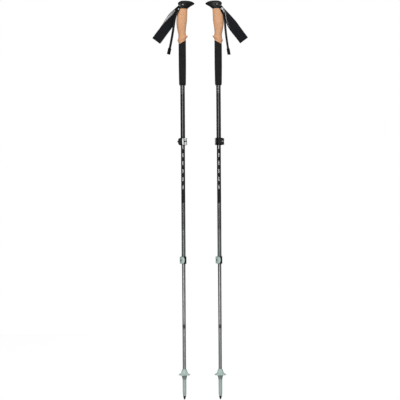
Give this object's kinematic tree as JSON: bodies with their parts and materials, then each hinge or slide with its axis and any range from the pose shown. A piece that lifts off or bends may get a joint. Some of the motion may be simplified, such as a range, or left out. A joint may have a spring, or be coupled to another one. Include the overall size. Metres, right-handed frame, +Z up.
{
  "type": "trekking poles",
  "caption": "Pair of telescoping trekking poles with cork grips, foam extensions, wrist straps, cam lever locks, small baskets and carbide tips.",
  "frame": {"origin": "on the ground, midway between the two tips", "axes": "+Z up along the shafts, +X to the right, from the left pole to the right one, +Y away from the viewer"},
  "size_m": [0.336, 0.0406, 1.4],
  "materials": {
    "head_rubber": "satin, moulded rubber over a hard core",
    "cork": "matt, fine natural cork granules",
    "foam": "matt, closed-cell EVA foam",
    "upper_anodised": "black anodised, satin",
    "middle_anodised": "black anodised with a printed grey pattern and scale",
    "lower_anodised": "grey anodised, satin, lighter towards the tip",
    "webbing": "black woven webbing",
    "liner": "light grey brushed padding",
    "black_plastic": "fine moulded texture",
    "nylon": "plain moulded nylon",
    "silver_lever": "satin silver paint",
    "mint_lever": "pale grey-green, satin",
    "mint_plastic": "pale grey-green, matt",
    "mint_basket": "pale grey-green, matt",
    "steel": "plain steel",
    "carbide": "dark sintered carbide"
  },
  "bodies": {
    "left_upper": {"left_top_cap": "head_rubber", "left_grip_head": "head_rubber", "left_grip_rivet": "steel", "left_strap_pin": "steel", "left_strap_block": "nylon", "left_cork_grip": "cork", "left_foam_grip": "foam", "left_upper_shaft": "upper_anodised", "left_upper_lock_collar": "black_plastic", "left_upper_lock_pin": "steel"},
    "left_middle": {"left_middle_shaft": "middle_anodised", "left_middle_bush": "nylon", "left_lower_lock_collar": "black_plastic", "left_lower_lock_pin": "steel"},
    "left_lower": {"left_lower_shaft": "lower_anodised", "left_lower_bush": "nylon", "left_tip_ferrule": "mint_plastic", "left_carbide_tip": "carbide", "left_basket": "mint_basket"},
    "left_strap": {"left_strap_webbing": "webbing", "left_strap_liner": "liner", "left_strap_tail": "webbing", "left_tail_tab": "black_plastic"},
    "left_upper_lever": {"left_upper_lock_lever": "silver_lever"},
    "left_lower_lever": {"left_lower_lock_lever": "mint_lever"},
    "left_upper_tension_screw": {"left_upper_lock_screw": "steel"},
    "left_lower_tension_screw": {"left_lower_lock_screw": "steel"},
    "right_upper": {"right_top_cap": "head_rubber", "right_grip_head": "head_rubber", "right_grip_rivet": "steel", "right_strap_pin": "steel", "right_strap_block": "nylon", "right_cork_grip": "cork", "right_foam_grip": "foam", "right_upper_shaft": "upper_anodised", "right_upper_lock_collar": "black_plastic", "right_upper_lock_pin": "steel"},
    "right_middle": {"right_middle_shaft": "middle_anodised", "right_middle_bush": "nylon", "right_lower_lock_collar": "black_plastic", "right_lower_lock_pin": "steel"},
    "right_lower": {"right_lower_shaft": "lower_anodised", "right_lower_bush": "nylon", "right_tip_ferrule": "mint_plastic", "right_carbide_tip": "carbide", "right_basket": "mint_basket"},
    "right_strap": {"right_strap_webbing": "webbing", "right_strap_liner": "liner", "right_strap_tail": "webbing", "right_tail_tab": "black_plastic"},
    "right_upper_lever": {"right_upper_lock_lever": "silver_lever"},
    "right_lower_lever": {"right_lower_lock_lever": "mint_lever"},
    "right_upper_tension_screw": {"right_upper_lock_screw": "steel"},
    "right_lower_tension_screw": {"right_lower_lock_screw": "steel"}
  },
  "joints": [
    {"name": "pair_spread", "type": "slide", "parent": "left_upper", "child": "right_upper", "axis": [1, 0, 0], "range_m": [0, 0.4]},
    {"name": "left_middle_slide", "type": "slide", "parent": "left_upper", "child": "left_middle", "axis": [0, 0, 1], "range_m": [0, 0.385]},
    {"name": "left_lower_slide", "type": "slide", "parent": "left_middle", "child": "left_lower", "axis": [0, 0, 1], "range_m": [0, 0.365]},
    {"name": "left_upper_lever_hinge", "type": "hinge", "parent": "left_upper", "child": "left_upper_lever", "pos_m": [-0.05342, -0.01402, 0.905], "axis": [0, 0, -1], "range_deg": [0, 120]},
    {"name": "left_lower_lever_hinge", "type": "hinge", "parent": "left_middle", "child": "left_lower_lever", "pos_m": [-0.073, 0.0108, 0.489], "axis": [0, 0, -1], "range_deg": [0, 120]},
    {"name": "left_strap_hinge", "type": "hinge", "parent": "left_upper", "child": "left_strap", "pos_m": [-0.071, 0, 1.382], "axis": [0, 1, 0], "range_deg": [0, 45]},
    {"name": "left_upper_screw_turn", "type": "hinge", "parent": "left_upper", "child": "left_upper_tension_screw", "pos_m": [-0.06371, -0.01348, 0.905], "axis": [0.9986, -0.0523, 0], "continuous": true},
    {"name": "left_lower_screw_turn", "type": "hinge", "parent": "left_middle", "child": "left_lower_tension_screw", "pos_m": [-0.063, 0.0108, 0.489], "axis": [-1, 0, 0], "continuous": true},
    {"name": "right_middle_slide", "type": "slide", "parent": "right_upper", "child": "right_middle", "axis": [0, 0, 1], "range_m": [0, 0.385]},
    {"name": "right_lower_slide", "type": "slide", "parent": "right_middle", "child": "right_lower", "axis": [0, 0, 1], "range_m": [0, 0.365]},
    {"name": "right_upper_lever_hinge", "type": "hinge", "parent": "right_upper", "child": "right_upper_lever", "pos_m": [0.07685, 0.00982, 0.905], "axis": [0, 0, -1], "range_deg": [0, 120]},
    {"name": "right_lower_lever_hinge", "type": "hinge", "parent": "right_middle", "child": "right_lower_lever", "pos_m": [0.053, 0.0108, 0.489], "axis": [0, 0, -1], "range_deg": [0, 120]},
    {"name": "right_strap_hinge", "type": "hinge", "parent": "right_upper", "child": "right_strap", "pos_m": [0.071, 0, 1.382], "axis": [0, -1, 0], "range_deg": [0, 45]},
    {"name": "right_upper_screw_turn", "type": "hinge", "parent": "right_upper", "child": "right_upper_tension_screw", "pos_m": [0.07649, -0.00047, 0.905], "axis": [0.0349, 0.9994, 0], "continuous": true},
    {"name": "right_lower_screw_turn", "type": "hinge", "parent": "right_middle", "child": "right_lower_tension_screw", "pos_m": [0.063, 0.0108, 0.489], "axis": [-1, 0, 0], "continuous": true}
  ]
}
